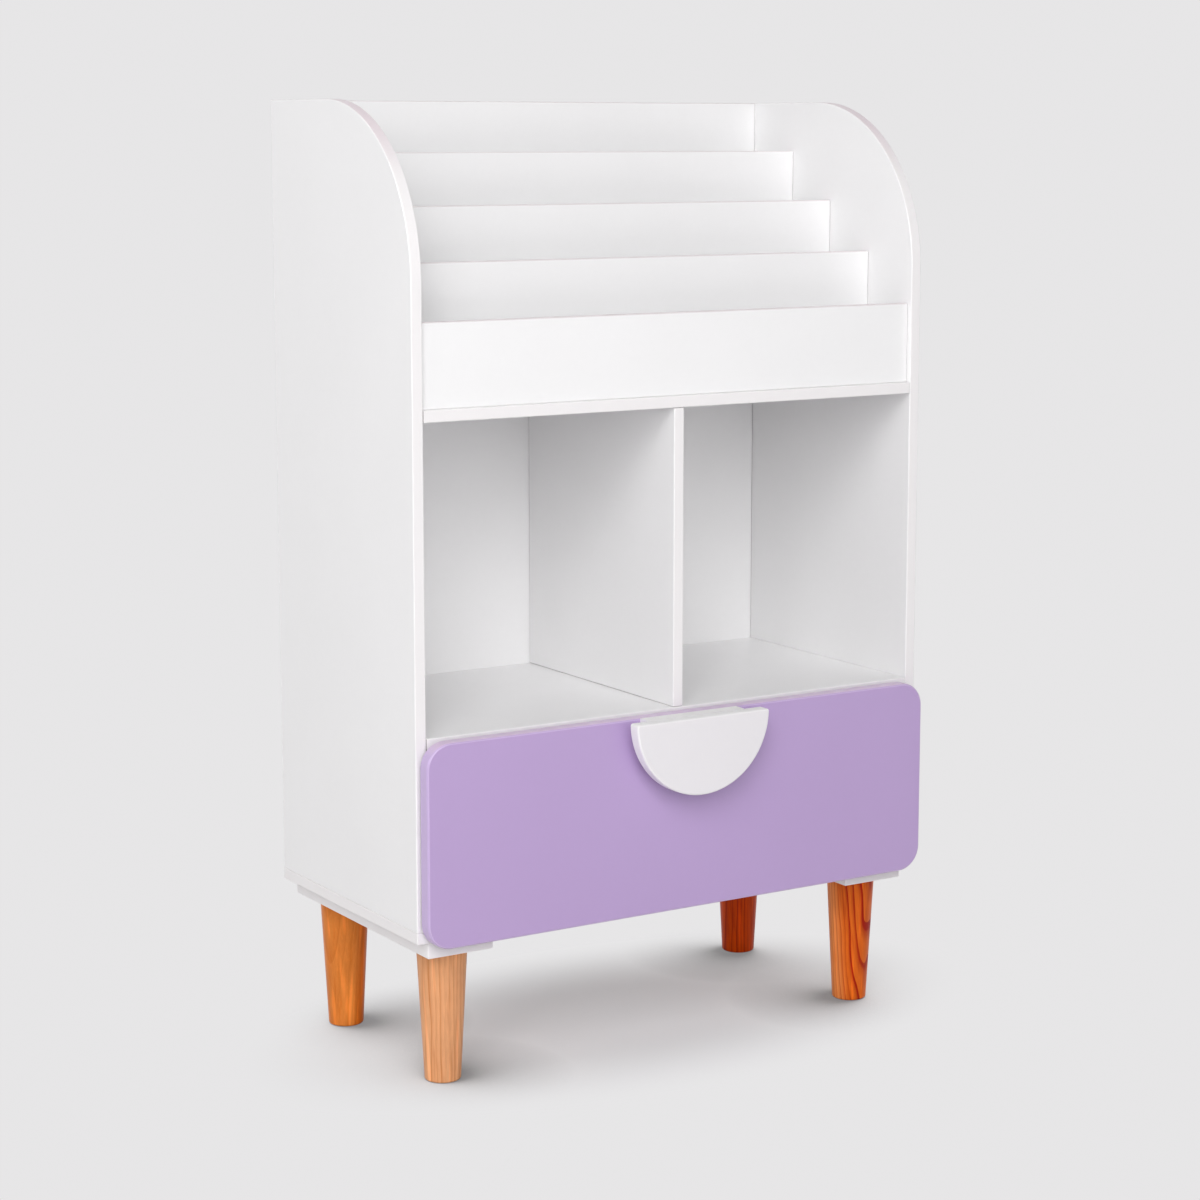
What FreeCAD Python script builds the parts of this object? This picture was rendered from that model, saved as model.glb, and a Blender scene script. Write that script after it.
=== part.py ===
"""Children's bookshelf: stepped book tiers above two cubbies and one drawer, on four turned legs.

Millimetres, +Z up. X runs across the front, Y runs from the front to the back, and the origin lies
on the floor, under the middle of the whole outline with the drawer closed.
"""
import FreeCAD
import Part

import os
import re
import types

import Sketcher

# Driving sizes
SIZES = {
    # carcass
    "width": 616,
    "depth": 300,
    "board": 12,
    "back_thickness": 9,
    "edge_round": 1.2,
    "side_curve": 175,
    # legs, and the rails that carry them
    "leg_height": 140,
    "leg_top_diameter": 52,
    "leg_foot_diameter": 37,
    "leg_foot_round": 2.5,
    "leg_setback": 42.5,
    "rail_thickness": 17,
    "rail_width": 74,
    "rail_inset": 13.5,
    "rail_setback": 3,
    # bays
    "drawer_bay_height": 182.5,
    "cubby_height": 309.5,
    "divider_setback": 1,
    # book tiers
    "tier_setback": 6,
    "rear_slot_depth": 63,
    "tier_rise": 53.25,
    "tier_panel_height": 84,
    # drawer front
    "front_gap": 3,
    "front_thickness": 15,
    "front_side_reveal": 3,
    "front_top_reveal": 2.5,
    "front_bottom_drop": 3.5,
    "front_corner": 26,
    "front_round": 2.5,
    # half-moon handle
    "plate_radius": 81,
    "plate_thickness": 15,
    "plate_corner": 2.8,
    "plate_round": 2,
    "finger_depth": 22,
    "spacer_thickness": 15,
    # drawer box
    "box_top_clearance": 23.3,
    "box_rear_clearance": 29,
    "box_bottom_thickness": 5,
    "box_groove_rise": 10,
    "box_groove_depth": 6,
    # roller runners
    "runner_setback": 4,
    "runner_rear_setback": 8,
    "runner_gap": 12.5,
    "runner_lift": 7,
    "runner_sheet": 1.2,
    "runner_side_clearance": 1.1,
    "runner_wrap": 10,
    "runner_bend": 0.6,
    "runner_web_lift": 1,
    "runner_flange_start": 39,
    "runner_stop_height": 4,
    "flange_clearance": 1,
    # rollers and their rivets
    "roller_diameter": 18,
    "roller_edge": 0.5,
    "roller_side_clearance": 1.2,
    "roller_clearance": 0.3,
    "roller_front_setback": 14,
    "roller_rear_setback": 12,
    "rivet_diameter": 5,
    "rivet_collar_diameter": 8,
    "rivet_collar_length": 2.3,
    "rivet_head_diameter": 8.4,
    "rivet_head_recess": 1.4,
    "rivet_head_sink": 0.2,
    "rivet_side_play": 0.15,
    "rivet_running_clearance": 0.05,
    "rivet_head_clearance": 0.3,
    # leg fixings
    "hanger_diameter": 8,
    "hanger_hold": 32,
    "insert_diameter": 11,
    "insert_cover": 2,
    # knock-down fittings
    "dowel_diameter": 6,
    "bore_cover": 4,
    "dowel_hold": 18,
    "cam_diameter": 12,
    "cam_cover": 2.5,
    "cam_reach": 24,
    "cam_bolt_diameter": 5,
    # countersunk screws
    "rail_screw_diameter": 4,
    "rail_screw_head": 8,
    "rail_screw_cover": 4,
    "rail_screw_gauge": 46,
    "side_screw_diameter": 5,
    "side_screw_head": 9,
    "side_screw_length": 45,
    "back_screw_diameter": 3.5,
    "back_screw_head": 7,
    "back_screw_length": 30,
    "box_screw_diameter": 4,
    "box_screw_head": 8,
    "box_screw_length": 40,
    # pan-head screws
    "runner_screw_diameter": 3.5,
    "runner_screw_head": 6.4,
    "runner_screw_head_height": 1.6,
    "runner_screw_cover": 3,
    "handle_screw_diameter": 4,
    "handle_screw_head": 8.5,
    "handle_screw_head_height": 2.6,
    "handle_screw_cover": 5,
    "handle_screw_gauge": 56,
    "handle_screw_drop": 25,
}

# Sizes that follow from the driving ones
DERIVED = {
    "half_width": "width / 2",
    "inner_half": "width / 2 - board",
    "inner_width": "width - 2 * board",
    "inner_depth": "depth - back_thickness",
    "front_stack": "front_gap + front_thickness + spacer_thickness + plate_thickness",
    "carcass_front": "(front_stack - depth) / 2",
    "carcass_back": "carcass_front + depth",
    "back_front": "carcass_back - back_thickness",
    "rail_centre": "half_width - rail_inset - rail_width / 2",
    "panel_underside": "leg_height + rail_thickness",
    "bay_floor": "panel_underside + board",
    "shelf_underside": "bay_floor + drawer_bay_height",
    "cubby_floor": "shelf_underside + board",
    "cubby_top": "cubby_floor + cubby_height",
    "tier_floor": "cubby_top + board",
    "side_height": "tier_floor + tier_panel_height + 4 * tier_rise - bay_floor",
    "tier_front": "carcass_front + tier_setback",
    "tier_pitch": "(inner_depth - tier_setback - board - rear_slot_depth) / 3",
    "slot_depth": "tier_pitch - board",
    "front_back_face": "carcass_front - front_gap",
    "front_face": "front_back_face - front_thickness",
    "front_half": "half_width - front_side_reveal",
    "front_top": "cubby_floor - front_top_reveal",
    "front_bottom": "panel_underside - front_bottom_drop",
    "box_half": "inner_half - runner_gap",
    "box_inner_half": "box_half - board",
    "track_top": "bay_floor + runner_lift",
    "channel_height": "roller_diameter + 2 * roller_clearance",
    "flange_underside": "channel_height + runner_sheet + flange_clearance",
    "box_bottom_edge": "track_top + runner_web_lift + runner_sheet",
    "box_floor_underside": "box_bottom_edge + box_groove_rise",
    "box_floor": "box_floor_underside + box_bottom_thickness",
    "box_top": "shelf_underside - box_top_clearance",
    "box_height": "box_top - box_bottom_edge",
    "box_back": "back_front - box_rear_clearance",
    "box_depth": "box_back - front_back_face",
    "runner_front": "carcass_front + runner_setback",
    "runner_length": "box_back - runner_rear_setback - runner_front",
    "runner_flange": "runner_gap - runner_sheet - runner_side_clearance",
    "roller_offset": "runner_sheet + runner_screw_head_height + roller_side_clearance",
    "drawer_roller_offset": "runner_sheet + rivet_collar_length",
    "roller_width": "runner_gap - roller_offset - drawer_roller_offset",
    "cabinet_roller_y": "runner_front + roller_front_setback",
    "cabinet_roller_z": "track_top + flange_underside - roller_clearance - roller_diameter / 2",
    "drawer_roller_y": "runner_front + runner_length - roller_rear_setback",
    "drawer_roller_z": "track_top + roller_clearance + roller_diameter / 2",
    "spacer_radius": "plate_radius - finger_depth",
    "insert_length": "rail_thickness - insert_cover",
    "dowel_bite": "board - bore_cover",
    "cam_bolt_bite": "board - bore_cover",
    "cam_depth": "board - cam_cover",
    "rail_screw_length": "rail_thickness + board - rail_screw_cover",
    "runner_screw_length": "runner_sheet + board - runner_screw_cover",
    "handle_screw_length": "front_thickness + spacer_thickness + plate_thickness - handle_screw_cover",
}

# Places along a board, as shares of the board's own length, depth or height
SHELF_CAM_SHARES = (0.18, 0.82)
SHELF_DOWEL_SHARES = (0.36, 0.64)
UPRIGHT_CAM_SHARES = (0.5,)
UPRIGHT_DOWEL_SHARES = (0.2, 0.8)
SLAT_DOWEL_SHARES = (0.25, 0.75)
BACK_DOWEL_SHARES = (0.12, 0.5, 0.88)
BACK_SCREW_WIDTH_SHARES = (0.1, 0.37, 0.63, 0.9)
BACK_SCREW_HEIGHT_SHARES = (0.3, 0.7)
SIDE_SCREW_SHARES = (0.13, 0.5, 0.87)
RAIL_SCREW_SHARES = (0.32, 0.68)
CABINET_RUNNER_SCREW_SHARES = (0.25, 0.7, 0.93)
DRAWER_RUNNER_SCREW_SHARES = (0.1, 0.48, 0.82)
BOX_SCREW_SHARES = (0.3, 0.7)
SCREW_TIP_SHARE = 0.12
# The driver's cross, as shares of the head's diameter
CROSS_ARM_SHARE = 0.26
CROSS_SLOT_SHARE = 0.07
CROSS_DEPTH_SHARE = 0.18

SIDES = (1, -1)
TIERS = ("low", "middle", "high")
FULL_TURN = 360
HALF_TURN = 180
SAME_PLACE = 1e-4

OUTER_PLANES = {
    "left": ("x", "XMin"), "right": ("x", "XMax"),
    "front": ("y", "YMin"), "back": ("y", "YMax"),
    "bottom": ("z", "ZMin"), "top": ("z", "ZMax"),
}
X_AXIS = FreeCAD.Vector(1, 0, 0)
Y_AXIS = FreeCAD.Vector(0, 1, 0)
Z_AXIS = FreeCAD.Vector(0, 0, 1)

doc = FreeCAD.newDocument("Bookshelf")
sheet = doc.addObject("Spreadsheet::Sheet", "Sizes")
nodes = []


# Sheet and expressions
def fill_sheet():
    """Writes the driving sizes as plain numbers and the derived ones as formulas, and reads them all."""
    cells = {name: str(value) for name, value in SIZES.items()}
    cells.update({name: "=" + text for name, text in DERIVED.items()})
    for row, (name, content) in enumerate(cells.items(), 1):
        sheet.set(f"A{row}", name)
        sheet.set(f"B{row}", content)
        sheet.setAlias(f"B{row}", name)
    doc.recompute()
    return types.SimpleNamespace(**{name: float(sheet.get(name)) for name in cells})


def formula(text):
    """The text with every word made a reference to the sheet's cell of that name."""
    return re.sub(r"[a-z_]+", lambda word: "Sizes." + word.group(), text)


def bind(thing, **sizes):
    for name, text in sizes.items():
        thing.setExpression(name, formula(text))


def put(thing, x="0", y="0", z="0"):
    for axis, text in (("x", x), ("y", y), ("z", z)):
        thing.setExpression("Placement.Base." + axis, formula(text))


def keep(thing, label):
    """Makes the object a sub-part under its own name."""
    thing.Label = label
    nodes.append(thing)
    return thing


# Features shared by many pieces
def new_body(label):
    body = doc.addObject("PartDesign::Body", "Body")
    body.Label = label
    return body


def edges_on(feature, *planes):
    """Names of the edges whose ends lie in all the named outer planes of the feature."""
    found = []
    for number, edge in enumerate(feature.Shape.Edges, 1):
        gaps = [abs(getattr(end.Point, axis) - getattr(feature.Shape.BoundBox, limit))
                for axis, limit in (OUTER_PLANES[plane] for plane in planes) for end in edge.Vertexes]
        if max(gaps) < SAME_PLACE:
            found.append(f"Edge{number}")
    return found


def edges_along_y(feature, corners):
    """Names of the edges that run along Y through the given X and Z."""
    found = []
    for number, edge in enumerate(feature.Shape.Edges, 1):
        ends = [(end.Point.x, end.Point.z) for end in edge.Vertexes]
        for x, z in corners:
            if all(abs(end[0] - x) < SAME_PLACE and abs(end[1] - z) < SAME_PLACE for end in ends):
                found.append(f"Edge{number}")
    return found


def round_edges(body, feature, edges, radius):
    fillet = body.newObject("PartDesign::Fillet", "Fillet")
    fillet.Base = (feature, edges)
    bind(fillet, Radius=radius)
    doc.recompute()
    return fillet


def outline(body, plane, corners):
    """A closed sketch of straight lines, each corner held at its two written coordinates."""
    sketch = body.newObject("Sketcher::SketchObject", "Sketch")
    support = next(part for part in body.Origin.OriginFeatures if part.Role == plane)
    sketch.AttachmentSupport = [(support, "")]
    sketch.MapMode = "FlatFace"
    count = len(corners)
    starts = [FreeCAD.Vector(number, number * number, 0) for number in range(count)]
    for number in range(count):
        sketch.addGeometry(Part.LineSegment(starts[number], starts[(number + 1) % count]))
    for number in range(count):
        sketch.addConstraint(Sketcher.Constraint("Coincident", number, 2, (number + 1) % count, 1))
    for number, corner in enumerate(corners):
        for kind, text, start in zip(("DistanceX", "DistanceY"), corner, starts[number]):
            held = sketch.addConstraint(Sketcher.Constraint(kind, -1, 1, number, 1, start))
            sketch.setExpression(f"Constraints[{held}]", formula(text))
    return sketch


def extrude(body, plane, corners, level, length, backwards=False):
    """The outline, drawn at this level of the plane and run on by the length."""
    sketch = outline(body, plane, corners)
    sketch.setExpression("AttachmentOffset.Base.z", formula(level))
    pad = body.newObject("PartDesign::Pad", "Pad")
    pad.Profile = sketch
    pad.Reversed = backwards
    bind(pad, Length=length)
    doc.recompute()


def turned(label, corners):
    """A turned piece: radius and height corners revolved about Z."""
    body = new_body(label)
    sketch = outline(body, "XZ_Plane", corners)
    turn = body.newObject("PartDesign::Revolution", "Revolution")
    turn.Profile = sketch
    turn.ReferenceAxis = (sketch, ["V_Axis"])
    turn.Angle = FULL_TURN
    doc.recompute()
    return body


def box_body(label, size, place):
    """A board with its lowest corner at the place; gives the body and its box."""
    body = new_body(label)
    box = body.newObject("PartDesign::AdditiveBox", "Box")
    bind(box, Length=size[0], Width=size[1], Height=size[2])
    put(body, *place)
    doc.recompute()
    return body, box


def board(label, size, place):
    """A board with all its edges eased."""
    body, box = box_body(label, size, place)
    round_edges(body, box, [f"Edge{number}" for number in range(1, len(box.Shape.Edges) + 1)], "edge_round")
    return body


def half_disc(label, radius, thickness):
    """Half a disc hanging from the drawer front's top edge, facing the front; gives the body and its disc."""
    body = new_body(label)
    disc = body.newObject("PartDesign::AdditiveCylinder", "Disc")
    bind(disc, Radius=radius, Height=thickness)
    disc.Angle = HALF_TURN
    body.Placement.Rotation = FreeCAD.Rotation(X_AXIS, -HALF_TURN / 2)
    doc.recompute()
    return body, disc


def scatter(pattern, places):
    """Equal pieces in one group: copies of the pattern at each point, its Z turned to each way."""
    group = doc.addObject("Part::Feature", "Group")
    copies = []
    for point, way in places:
        copy = pattern.Shape.copy()
        copy.Placement = FreeCAD.Placement(FreeCAD.Vector(*point), FreeCAD.Rotation(Z_AXIS, way))
        copies.append(copy)
    group.Shape = Part.makeCompound(copies)
    return group


def drill(label, blank, *tools):
    """The blank with the seats of the given pieces cut out of it."""
    for tool in tools:
        cut = doc.addObject("Part::Cut", "Cut")
        cut.Base = blank
        cut.Tool = tool
        blank = cut
    doc.recompute()
    return keep(blank, label)


def mirror(label, piece):
    """The same piece on the left side."""
    image = doc.addObject("Part::Mirroring", "Mirror")
    image.Source = piece
    image.Normal = X_AXIS
    doc.recompute()
    return keep(image, label)


# Patterns of the fasteners, each pointing along Z from the face it goes into
def driver_cross(label, head, level):
    """Cross for the driver, sunk from this level into a head of the given diameter."""
    arm = f"{head} * {CROSS_ARM_SHARE}"
    slot = f"{head} * {CROSS_SLOT_SHARE}"
    body = new_body(label)
    extrude(body, "XY_Plane", [
        (arm, f"-{slot}"), (arm, slot), (slot, slot),
        (slot, arm), (f"-{slot}", arm), (f"-{slot}", slot),
        (f"-{arm}", slot), (f"-{arm}", f"-{slot}"), (f"-{slot}", f"-{slot}"),
        (f"-{slot}", f"-{arm}"), (slot, f"-{arm}"), (slot, f"-{slot}"),
    ], level, f"{head} * {CROSS_DEPTH_SHARE}")
    return body


def countersunk_screw(kind):
    """Plain screw and the cross for its head."""
    radius = f"{kind}_screw_diameter / 2"
    head = f"{kind}_screw_head / 2"
    length = f"{kind}_screw_length"
    screw = turned(f"{kind}_screw_pattern", [
        ("0", "0"),
        (head, "0"),
        (radius, f"{head} - {radius}"),
        (radius, f"{length} * {1 - SCREW_TIP_SHARE}"),
        ("0", length),
    ])
    return screw, driver_cross(f"{kind}_cross_pattern", f"{kind}_screw_head", "0")


def pan_head_screw(kind):
    """Plain screw and the cross for its head."""
    radius = f"{kind}_screw_diameter / 2"
    head = f"{kind}_screw_head / 2"
    face = f"-{kind}_screw_head_height"
    length = f"{kind}_screw_length"
    screw = turned(f"{kind}_screw_pattern", [
        ("0", face),
        (head, face),
        (head, "0"),
        (radius, "0"),
        (radius, length),
        ("0", length),
    ])
    return screw, driver_cross(f"{kind}_cross_pattern", f"{kind}_screw_head", face)


def screws(label, pattern, places):
    """Equal screws in one sub-part; gives the plain screws, which cut the seats."""
    plain, cross = pattern
    blanks = scatter(plain, places)
    drill(label, blanks, scatter(cross, places))
    return blanks


def rod(label, diameter, length):
    return turned(label, [("0", "0"), (f"{diameter} / 2", "0"), (f"{diameter} / 2", length), ("0", length)])


def tube(label, bore, diameter, length):
    return turned(label, [
        (f"{bore} / 2", "0"),
        (f"{diameter} / 2", "0"),
        (f"{diameter} / 2", length),
        (f"{bore} / 2", length),
    ])


def along(start, length, shares):
    return [start + share * length for share in shares]


def tier_level(number):
    """Underside of the floor slat behind the tier divider of this number, from 0 in front."""
    return f"tier_floor + {number + 1} * tier_rise - board"


v = fill_sheet()

# Boards that span the carcass: lowest Z, front Y, and depth or height
shelves = [(v.shelf_underside, v.carcass_front, v.inner_depth), (v.cubby_top, v.carcass_front, v.inner_depth)]
uprights = [(v.tier_front, v.tier_floor, v.tier_panel_height)]
slats = []
for number in range(len(TIERS)):
    divider_front = v.tier_front + (number + 1) * v.tier_pitch
    divider_bottom = v.tier_floor + (number * v.tier_rise - v.board if number else 0)
    divider_top = v.tier_floor + v.tier_panel_height + (number + 1) * v.tier_rise
    uprights.append((divider_front, divider_bottom, divider_top - divider_bottom))
    slat_depth = v.rear_slot_depth if number == len(TIERS) - 1 else v.slot_depth
    slat_level = v.tier_floor + (number + 1) * v.tier_rise - v.board
    slats.append((slat_level, divider_front + v.board, slat_depth))


# Knock-down fittings of the carcass
def carcass_fittings():
    """Dowels, cam bolts and cam housings where boards meet the sides and the cubby divider."""
    dowels = []
    bolts = []
    cams = []
    half = v.board / 2
    for side in SIDES:
        inward = X_AXIS * -side
        dowel_x = side * (v.inner_half + v.dowel_bite)
        bolt_x = side * (v.inner_half + v.cam_bolt_bite)
        cam_x = side * (v.inner_half - v.cam_reach)
        for z, front, depth in shelves:
            dowels += [((dowel_x, y, z + half), inward) for y in along(front, depth, SHELF_DOWEL_SHARES)]
            bolts += [((bolt_x, y, z + half), inward) for y in along(front, depth, SHELF_CAM_SHARES)]
            cams += [((cam_x, y, z), Z_AXIS) for y in along(front, depth, SHELF_CAM_SHARES)]
        for front, z, height in uprights:
            dowels += [((dowel_x, front + half, at), inward) for at in along(z, height, UPRIGHT_DOWEL_SHARES)]
            bolts += [((bolt_x, front + half, at), inward) for at in along(z, height, UPRIGHT_CAM_SHARES)]
            cams += [((cam_x, front + v.board, at), -Y_AXIS) for at in along(z, height, UPRIGHT_CAM_SHARES)]
        for z, front, depth in slats:
            dowels += [((dowel_x, y, z + half), inward) for y in along(front, depth, SLAT_DOWEL_SHARES)]
        back_middle = v.back_front + v.back_thickness / 2
        dowels += [((dowel_x, back_middle, z), inward)
                   for z in along(v.bay_floor, v.side_height, BACK_DOWEL_SHARES)]
    for y in along(v.carcass_front, v.inner_depth, SHELF_CAM_SHARES):
        dowels.append(((0, y, v.cubby_floor - v.dowel_bite), Z_AXIS))
        dowels.append(((0, y, v.cubby_top + v.dowel_bite), -Z_AXIS))
    return dowels, bolts, cams


def drawer_fittings():
    """Dowels, cam bolts and cam housings where the box sides meet the drawer front."""
    dowels = []
    bolts = []
    cams = []
    for side in SIDES:
        middle = side * (v.box_half - v.board / 2)
        dowels += [((middle, v.front_back_face - v.dowel_bite, z), Y_AXIS)
                   for z in along(v.box_bottom_edge, v.box_height, UPRIGHT_DOWEL_SHARES)]
        for z in along(v.box_bottom_edge, v.box_height, UPRIGHT_CAM_SHARES):
            bolts.append(((middle, v.front_back_face - v.cam_bolt_bite, z), Y_AXIS))
            cams.append(((side * v.box_inner_half, v.front_back_face + v.cam_reach, z), X_AXIS * side))
    return dowels, bolts, cams


dowel = rod("dowel_pattern", "dowel_diameter", "dowel_bite + dowel_hold")
cam_bolt = rod("cam_bolt_pattern", "cam_bolt_diameter", "cam_bolt_bite + cam_reach")
cam = rod("cam_pattern", "cam_diameter", "cam_depth")
cam_cross = driver_cross("cam_cross_pattern", "cam_diameter", "0")

dowel_places, bolt_places, cam_places = carcass_fittings()
wood_dowels = keep(scatter(dowel, dowel_places), "wood_dowels")
cam_bolts = keep(scatter(cam_bolt, bolt_places), "cam_bolts")
cam_blanks = scatter(cam, cam_places)
drill("cam_housings", cam_blanks, cam_bolts, scatter(cam_cross, cam_places))

dowel_places, bolt_places, cam_places = drawer_fittings()
drawer_dowels = keep(scatter(dowel, dowel_places), "drawer_dowels")
drawer_cam_bolts = keep(scatter(cam_bolt, bolt_places), "drawer_cam_bolts")
drawer_cam_blanks = scatter(cam, cam_places)
drill("drawer_cam_housings", drawer_cam_blanks, drawer_cam_bolts, scatter(cam_cross, cam_places))

# Screws and leg bolts of the carcass
side_screws = screws("side_screws", countersunk_screw("side"), [
    ((side * (v.half_width - v.board / 2), y, v.panel_underside), Z_AXIS)
    for side in SIDES for y in along(v.carcass_front, v.depth, SIDE_SCREW_SHARES)
])

rail_screws = screws("rail_screws", countersunk_screw("rail"), [
    ((side * (v.rail_centre + row * v.rail_screw_gauge / 2), y, v.leg_height), Z_AXIS)
    for side in SIDES for row in SIDES for y in along(v.carcass_front, v.depth, RAIL_SCREW_SHARES)
])

back_screws = screws("back_panel_screws", countersunk_screw("back"), [
    ((x, v.carcass_back, z + v.board / 2), -Y_AXIS)
    for z, _, _ in shelves for x in along(-v.inner_half, v.inner_width, BACK_SCREW_WIDTH_SHARES)
] + [
    ((0, v.carcass_back, z), -Y_AXIS) for z in along(v.cubby_floor, v.cubby_height, BACK_SCREW_HEIGHT_SHARES)
])

leg_points = [(side * v.rail_centre, y) for side in SIDES
              for y in (v.carcass_front + v.leg_setback, v.carcass_back - v.leg_setback)]
hanger_bolts = keep(scatter(
    rod("hanger_pattern", "hanger_diameter", "hanger_hold + insert_length"),
    [((x, y, v.leg_height - v.hanger_hold), Z_AXIS) for x, y in leg_points]), "leg_hanger_bolts")
insert_nuts = keep(scatter(
    tube("insert_pattern", "hanger_diameter", "insert_diameter", "insert_length"),
    [((x, y, v.leg_height), Z_AXIS) for x, y in leg_points]), "leg_insert_nuts")

runner_screw = pan_head_screw("runner")
cabinet_runner_screws = screws("cabinet_runner_screws", runner_screw, [
    ((side * (v.inner_half - v.runner_sheet), y, v.track_top + v.channel_height / 2), X_AXIS * side)
    for side in SIDES for y in along(v.runner_front, v.runner_length, CABINET_RUNNER_SCREW_SHARES)
])


# Carcass boards
def carcass():
    right_side, side_box = box_body("side_blank", ("board", "depth", "side_height"),
                                    ("inner_half", "carcass_front", "bay_floor"))
    curve = round_edges(right_side, side_box, edges_on(side_box, "front", "top"), "side_curve")
    faces = edges_on(curve, "left") + edges_on(curve, "right")
    ends = [name for pair in (("front", "bottom"), ("back", "bottom"), ("back", "top"))
            for name in edges_on(curve, *pair)]
    round_edges(right_side, curve, faces + ends, "edge_round")
    right = drill("right_side_panel", right_side, wood_dowels, cam_bolts, side_screws, cabinet_runner_screws)
    mirror("left_side_panel", right)

    bottom = board("bottom_blank", ("width", "depth", "board"),
                   ("-half_width", "carcass_front", "panel_underside"))
    drill("bottom_panel", bottom, side_screws, rail_screws)

    back = board("back_blank", ("inner_width", "back_thickness", "side_height"),
                 ("-inner_half", "back_front", "bay_floor"))
    drill("back_panel", back, wood_dowels, back_screws)

    for label, level in (("lower_shelf", "shelf_underside"), ("tier_shelf", "cubby_top")):
        blank = board(label + "_blank", ("inner_width", "inner_depth", "board"),
                      ("-inner_half", "carcass_front", level))
        drill(label, blank, wood_dowels, cam_bolts, cam_blanks, back_screws)

    divider = board("divider_blank", ("board", "inner_depth - divider_setback", "cubby_height"),
                    ("-board / 2", "carcass_front + divider_setback", "cubby_floor"))
    drill("cubby_divider", divider, wood_dowels, back_screws)


# Stepped book tiers
def book_tiers():
    panel = board("tier_panel_blank", ("inner_width", "board", "tier_panel_height"),
                  ("-inner_half", "tier_front", "tier_floor"))
    drill("front_tier_panel", panel, wood_dowels, cam_bolts, cam_blanks)
    for number, name in enumerate(TIERS):
        front = f"tier_front + {number + 1} * tier_pitch"
        bottom = tier_level(number - 1) if number else "tier_floor"
        top = f"tier_floor + tier_panel_height + {number + 1} * tier_rise"
        divider = board(f"tier_divider_{name}_blank", ("inner_width", "board", f"{top} - ({bottom})"),
                        ("-inner_half", front, bottom))
        drill(f"tier_divider_{name}", divider, wood_dowels, cam_bolts, cam_blanks)
        depth = "rear_slot_depth" if number == len(TIERS) - 1 else "slot_depth"
        slat = board(f"tier_floor_{name}_blank", ("inner_width", depth, "board"),
                     ("-inner_half", f"{front} + board", tier_level(number)))
        drill(f"tier_floor_{name}", slat, wood_dowels)


# Rails and turned legs
def base():
    rail = board("rail_blank", ("rail_width", "depth - 2 * rail_setback", "rail_thickness"),
                 ("rail_centre - rail_width / 2", "carcass_front + rail_setback", "leg_height"))
    mirror("left_leg_rail", drill("right_leg_rail", rail, rail_screws, insert_nuts, hanger_bolts))
    places = (("front", "carcass_front + leg_setback"), ("rear", "carcass_back - leg_setback"))
    for name, y in places:
        leg = turned(f"{name}_leg_blank", [
            ("0", "0"),
            ("leg_foot_diameter / 2", "0"),
            ("leg_top_diameter / 2", "leg_height"),
            ("0", "leg_height"),
        ])
        round_edges(leg, leg.Tip, edges_on(leg.Tip, "bottom"), "leg_foot_round")
        put(leg, "rail_centre", y)
        mirror(f"{name}_left_leg", drill(f"{name}_right_leg", leg, hanger_bolts))


# Roller runners
def rivet(label, offset):
    """Rivet from the web out: tail in the web, collar, journal for the roller, and a sunk head."""
    journal = "rivet_diameter / 2"
    collar = "rivet_collar_diameter / 2"
    head = "rivet_head_diameter / 2"
    collar_end = f"{offset} - rivet_side_play"
    head_start = f"{offset} + roller_width - rivet_head_recess + rivet_side_play"
    head_end = f"{offset} + roller_width - rivet_head_sink"
    return turned(label, [
        ("0", "0"),
        (journal, "0"),
        (journal, "runner_sheet"),
        (collar, "runner_sheet"),
        (collar, collar_end),
        (journal, collar_end),
        (journal, head_start),
        (head, head_start),
        (head, head_end),
        ("0", head_end),
    ])


def roller(label):
    """Nylon roller, its inner face at zero and its outer face recessed for the rivet's head."""
    bore = "rivet_diameter / 2 + rivet_running_clearance"
    recess = "rivet_head_diameter / 2 + rivet_head_clearance"
    radius = "roller_diameter / 2"
    return turned(label, [
        (bore, "0"),
        (f"{radius} - roller_edge", "0"),
        (radius, "roller_edge"),
        (radius, "roller_width - roller_edge"),
        (f"{radius} - roller_edge", "roller_width"),
        (recess, "roller_width"),
        (recess, "roller_width - rivet_head_recess"),
        (bore, "roller_width - rivet_head_recess"),
    ])


def add_strip(body, corners, length, start="0"):
    """Sheet section in X and Z, begun this far behind the runner's front end and run to the back."""
    extrude(body, "XZ_Plane", corners, f"-({start})", length, backwards=True)


def bend_edges(body, inner, outer):
    """Rounds the folds, inside and outside, where the strip is bent."""
    round_edges(body, body.Tip, edges_along_y(body.Tip, inner), "runner_bend")
    round_edges(body, body.Tip, edges_along_y(body.Tip, outer), "runner_bend + runner_sheet")


def cabinet_runner():
    """Channel on the carcass side: flanges cut back for the front roller, with a stop lip turned up there."""
    top = "channel_height + runner_sheet"
    runner = new_body("cabinet_runner_blank")
    add_strip(runner, [
        ("-runner_sheet", "-runner_sheet"),
        ("0", "-runner_sheet"),
        ("0", top),
        ("-runner_sheet", top),
    ], "runner_length")
    add_strip(runner, [
        ("0", "-runner_sheet"),
        ("0", top),
        ("-runner_flange", top),
        ("-runner_flange", "channel_height"),
        ("-runner_sheet", "channel_height"),
        ("-runner_sheet", "0"),
        ("-runner_flange", "0"),
        ("-runner_flange", "-runner_sheet"),
    ], "runner_length - runner_flange_start", "runner_flange_start")
    inner = [(-v.runner_sheet, 0), (-v.runner_sheet, v.channel_height)]
    round_edges(runner, runner.Tip, edges_along_y(runner.Tip, inner), "runner_bend")
    add_strip(runner, [
        ("-runner_flange", "0"),
        ("-roller_offset", "0"),
        ("-roller_offset", "runner_stop_height"),
        ("-runner_flange", "runner_stop_height"),
    ], "runner_sheet", "runner_flange_start")
    put(runner, "inner_half", "runner_front", "track_top")
    return runner


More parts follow.
